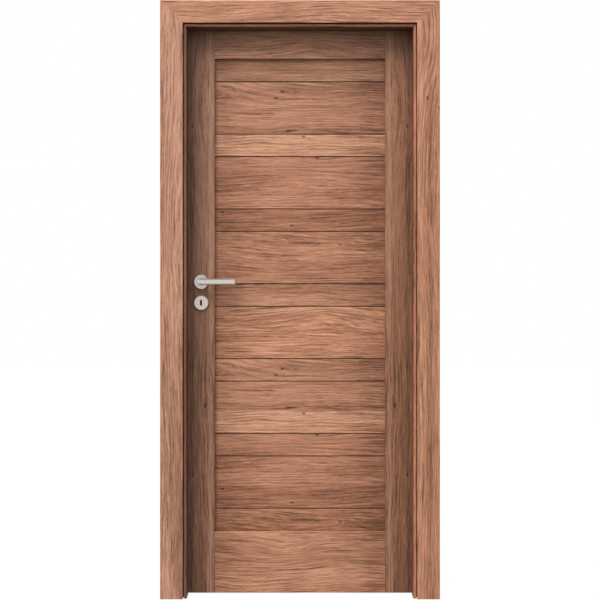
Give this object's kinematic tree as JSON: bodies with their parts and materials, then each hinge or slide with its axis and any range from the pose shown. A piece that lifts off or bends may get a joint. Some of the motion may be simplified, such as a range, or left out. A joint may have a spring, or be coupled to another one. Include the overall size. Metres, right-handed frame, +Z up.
{
  "type": "interior door",
  "caption": "Interior door: a rebated stile-and-rail leaf with horizontal boards swings on barrel hinges in a mitred wall frame, with lever handles and a keyhole.",
  "frame": {"origin": "on the wall face of the hinge jamb, at floor level and at half the wall's thickness", "axes": "+X along the wall towards the hinge side, out of the hinge jamb's wall face; +Y through the wall, away from the front; +Z up"},
  "size_m": [0.988, 0.198, 2.115],
  "materials": {
    "frame_wood": "satin veneer",
    "leaf_wood": "satin veneer",
    "board_wood": "satin veneer",
    "satin_metal": "satin",
    "lock_steel": "plain",
    "seal_rubber": "matt"
  },
  "bodies": {
    "frame": {"lock_jamb": "frame_wood", "hinge_jamb": "frame_wood", "head_jamb": "frame_wood", "strike_plate": "satin_metal", "front_casing_lock_side": "frame_wood", "back_casing_lock_side": "frame_wood", "seal_lock_side": "seal_rubber", "front_casing_hinge_side": "frame_wood", "back_casing_hinge_side": "frame_wood", "seal_hinge_side": "seal_rubber", "front_casing_head": "frame_wood", "back_casing_head": "frame_wood", "seal_head": "seal_rubber", "upper_hinge_frame_barrel": "satin_metal", "lower_hinge_frame_barrel": "satin_metal"},
    "leaf": {"lock_stile": "leaf_wood", "hinge_stile": "leaf_wood", "top_rail": "leaf_wood", "bottom_rail": "leaf_wood", "board_01": "board_wood", "board_02": "board_wood", "board_03": "board_wood", "board_04": "board_wood", "board_05": "board_wood", "board_06": "board_wood", "board_07": "board_wood", "board_08": "board_wood", "board_09": "board_wood", "board_10": "board_wood", "board_11": "board_wood", "board_12": "board_wood", "board_13": "board_wood", "lock_faceplate": "satin_metal", "latch_bolt": "satin_metal", "dead_bolt": "satin_metal", "front_handle_rose": "satin_metal", "front_key_rose": "satin_metal", "back_handle_rose": "satin_metal", "back_key_rose": "satin_metal", "upper_hinge_leaf_barrel": "satin_metal", "lower_hinge_leaf_barrel": "satin_metal"},
    "lever": {"front_lever": "satin_metal", "back_lever": "satin_metal", "spindle": "lock_steel"}
  },
  "joints": [
    {"name": "door_swing", "type": "hinge", "parent": "frame", "child": "leaf", "pos_m": [0.005, 0.073, 1.071], "axis": [0, 0, -1], "range_deg": [0, 170]},
    {"name": "lever_press", "type": "hinge", "parent": "leaf", "child": "lever", "pos_m": [-0.781, 0.059, 1.1215], "axis": [0, 1, 0], "range_deg": [0, 40], "stiffness_Nm_per_rad": 1.2, "springref_deg": -28.65}
  ]
}
